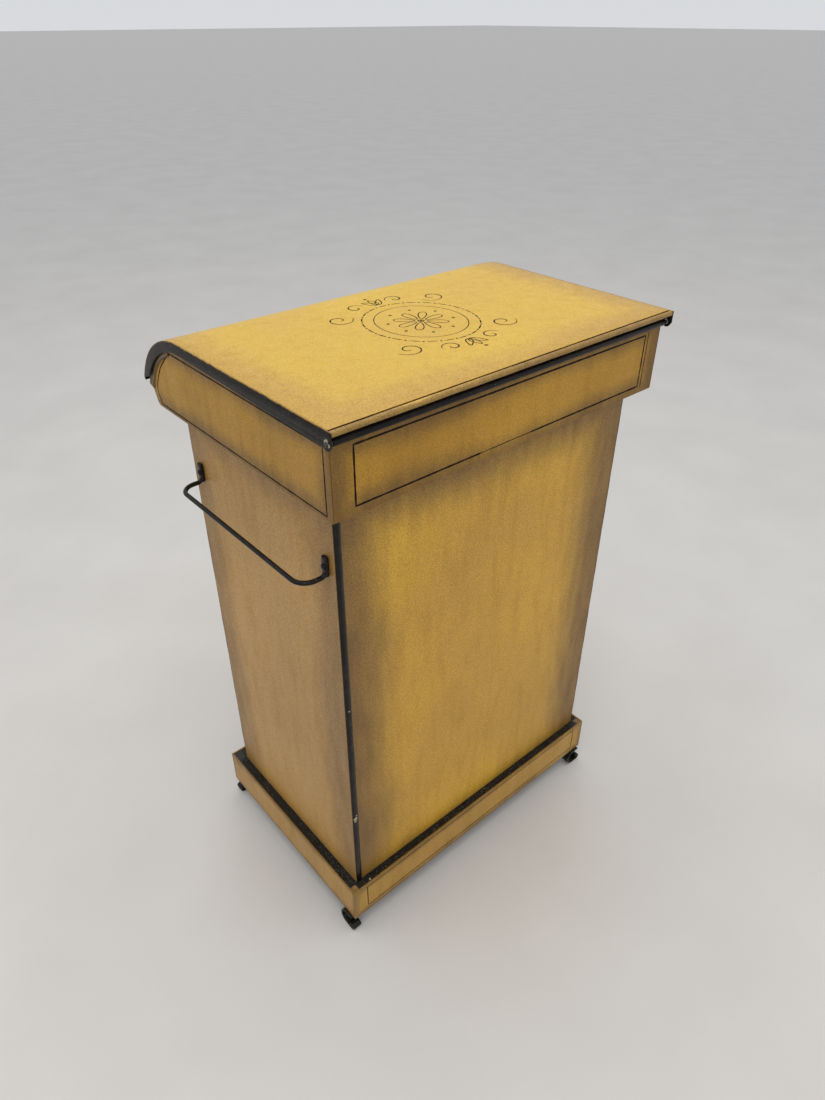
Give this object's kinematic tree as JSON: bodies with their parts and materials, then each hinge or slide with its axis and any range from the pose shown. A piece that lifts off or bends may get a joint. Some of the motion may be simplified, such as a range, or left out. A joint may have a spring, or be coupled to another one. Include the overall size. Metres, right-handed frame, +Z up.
{
  "type": "lidded bin",
  "caption": "Tall box bin of painted sheet metal with a rear-hinged lid that rolls down at the front, an overhanging hood, wire end handles, a plinth and curled strap feet.",
  "frame": {"origin": "on the floor, at the middle of the bin's box", "axes": "+Z up along the bin's height, -Y to the front where the lid rolls down, X along its width with a handle at each end"},
  "size_m": [0.466, 0.3404, 0.6972],
  "materials": {
    "yellow_paint": "mustard paint with a brown antique glaze, satin",
    "black_paint": "black paint, worn at its edges, satin",
    "black_iron": "blackened iron wire and strap, semi-gloss"
  },
  "bodies": {
    "bin": {"body_back_left": "yellow_paint", "body_back_right": "yellow_paint", "body_end_left": "yellow_paint", "body_end_right": "yellow_paint", "body_floor": "yellow_paint", "body_front": "yellow_paint", "corner_strip_back_left": "black_paint", "corner_strip_back_right": "black_paint", "corner_strip_front_left": "black_paint", "corner_strip_front_right": "black_paint", "foot_back_left": "black_iron", "foot_back_right": "black_iron", "foot_front_left": "black_iron", "foot_front_right": "black_iron", "foot_plate_back_left": "yellow_paint", "foot_plate_back_right": "yellow_paint", "foot_plate_front_left": "yellow_paint", "foot_plate_front_right": "yellow_paint", "foot_rivet_back_left": "black_iron", "foot_rivet_back_right": "black_iron", "foot_rivet_front_left": "black_iron", "foot_rivet_front_right": "black_iron", "handle_left": "black_iron", "handle_right": "black_iron", "handle_rivet_left_back": "black_iron", "handle_rivet_left_front": "black_iron", "handle_rivet_right_back": "black_iron", "handle_rivet_right_front": "black_iron", "hinge_tube": "black_paint", "hood_apron": "yellow_paint", "hood_back": "yellow_paint", "hood_end_left": "yellow_paint", "hood_end_right": "yellow_paint", "hood_skirt": "yellow_paint", "hood_soffit_back": "yellow_paint", "hood_soffit_front": "yellow_paint", "hood_soffit_left": "yellow_paint", "hood_soffit_right": "yellow_paint", "plinth_corner_back_left": "yellow_paint", "plinth_corner_back_right": "yellow_paint", "plinth_corner_front_left": "yellow_paint", "plinth_corner_front_right": "yellow_paint", "plinth_ledge_back": "black_paint", "plinth_ledge_front": "black_paint", "plinth_ledge_left": "black_paint", "plinth_ledge_right": "black_paint", "plinth_rail_back": "yellow_paint", "plinth_rail_front": "yellow_paint", "plinth_rail_left": "yellow_paint", "plinth_rail_right": "yellow_paint"},
    "lid": {"lid_sheet": "yellow_paint", "lid_flange_left": "black_paint", "lid_flange_right": "black_paint", "lid_bead": "yellow_paint", "lid_hem": "black_paint", "hinge_rod": "black_iron"}
  },
  "joints": [
    {"name": "lid_hinge", "type": "hinge", "parent": "bin", "child": "lid", "pos_m": [0, 0.16373, 0.685], "axis": [-1, 0, 0], "range_deg": [0, 155]}
  ]
}
